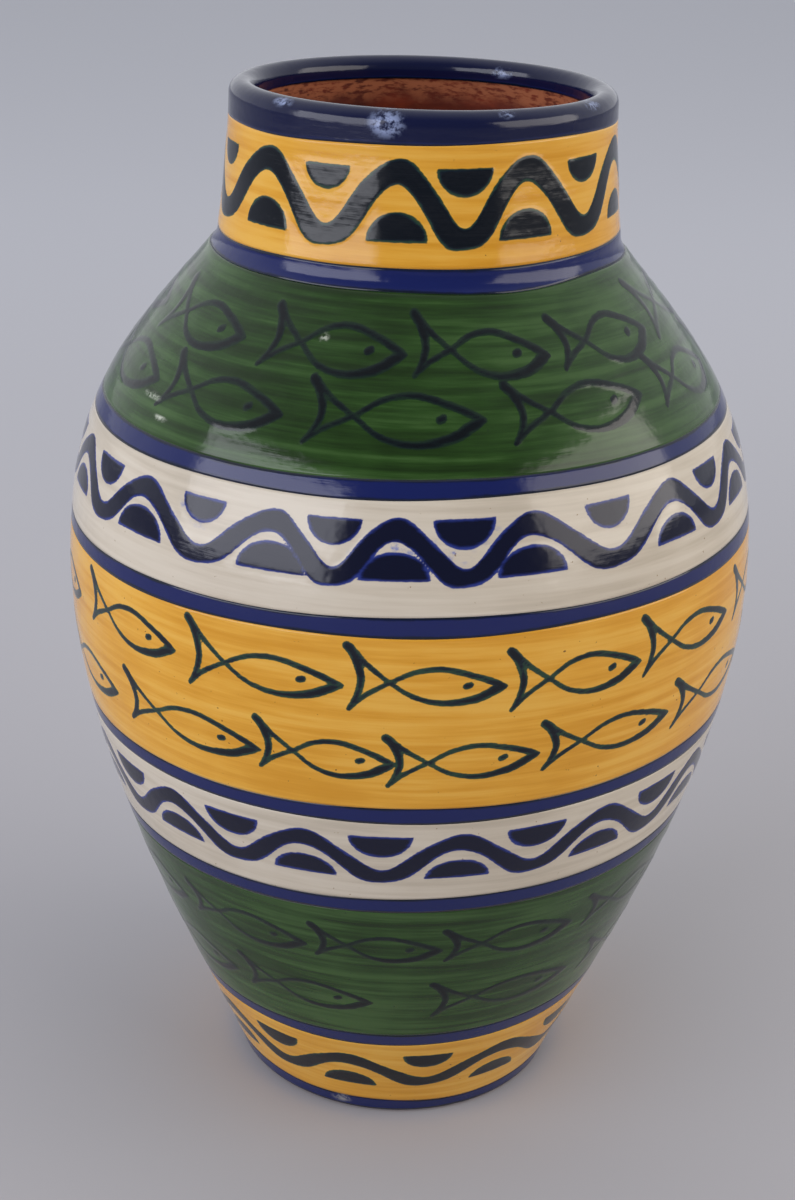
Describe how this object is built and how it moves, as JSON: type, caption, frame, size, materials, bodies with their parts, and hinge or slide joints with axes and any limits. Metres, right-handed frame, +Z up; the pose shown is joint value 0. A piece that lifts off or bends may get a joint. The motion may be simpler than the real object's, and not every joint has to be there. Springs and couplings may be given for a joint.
{
  "type": "ceramic vase",
  "caption": "Wheel-thrown ovoid vase with a collar neck, glazed in horizontal bands with painted waves, half-moons and line fish.",
  "frame": {"origin": "middle of the foot, on the surface the vase stands on", "axes": "+Z up along the wheel's axis; -Y is the side that the picture shows"},
  "size_m": [0.2096, 0.2096, 0.32],
  "materials": {
    "terracotta": "bare fired red clay, matt",
    "cobalt_glaze": "cobalt glaze, glossy",
    "yellow_glaze": "antimony yellow glaze, glossy",
    "green_glaze": "copper green glaze, brushed, glossy",
    "white_glaze": "tin-white glaze, glossy"
  },
  "bodies": {
    "root": {"clay_body": "terracotta", "clay_neck": "terracotta", "glaze_base_line": "cobalt_glaze", "glaze_foot_yellow": "yellow_glaze", "glaze_line_under_green": "cobalt_glaze", "glaze_lower_green": "green_glaze", "glaze_line_over_green": "cobalt_glaze", "glaze_lower_white": "white_glaze", "glaze_line_under_belly": "cobalt_glaze", "glaze_belly_yellow": "yellow_glaze", "glaze_line_over_belly": "cobalt_glaze", "glaze_upper_white": "white_glaze", "glaze_line_under_shoulder": "cobalt_glaze", "glaze_shoulder_green": "green_glaze", "glaze_neck_line": "cobalt_glaze", "glaze_neck_yellow": "yellow_glaze", "glaze_rim_blue": "cobalt_glaze"}
  },
  "joints": []
}
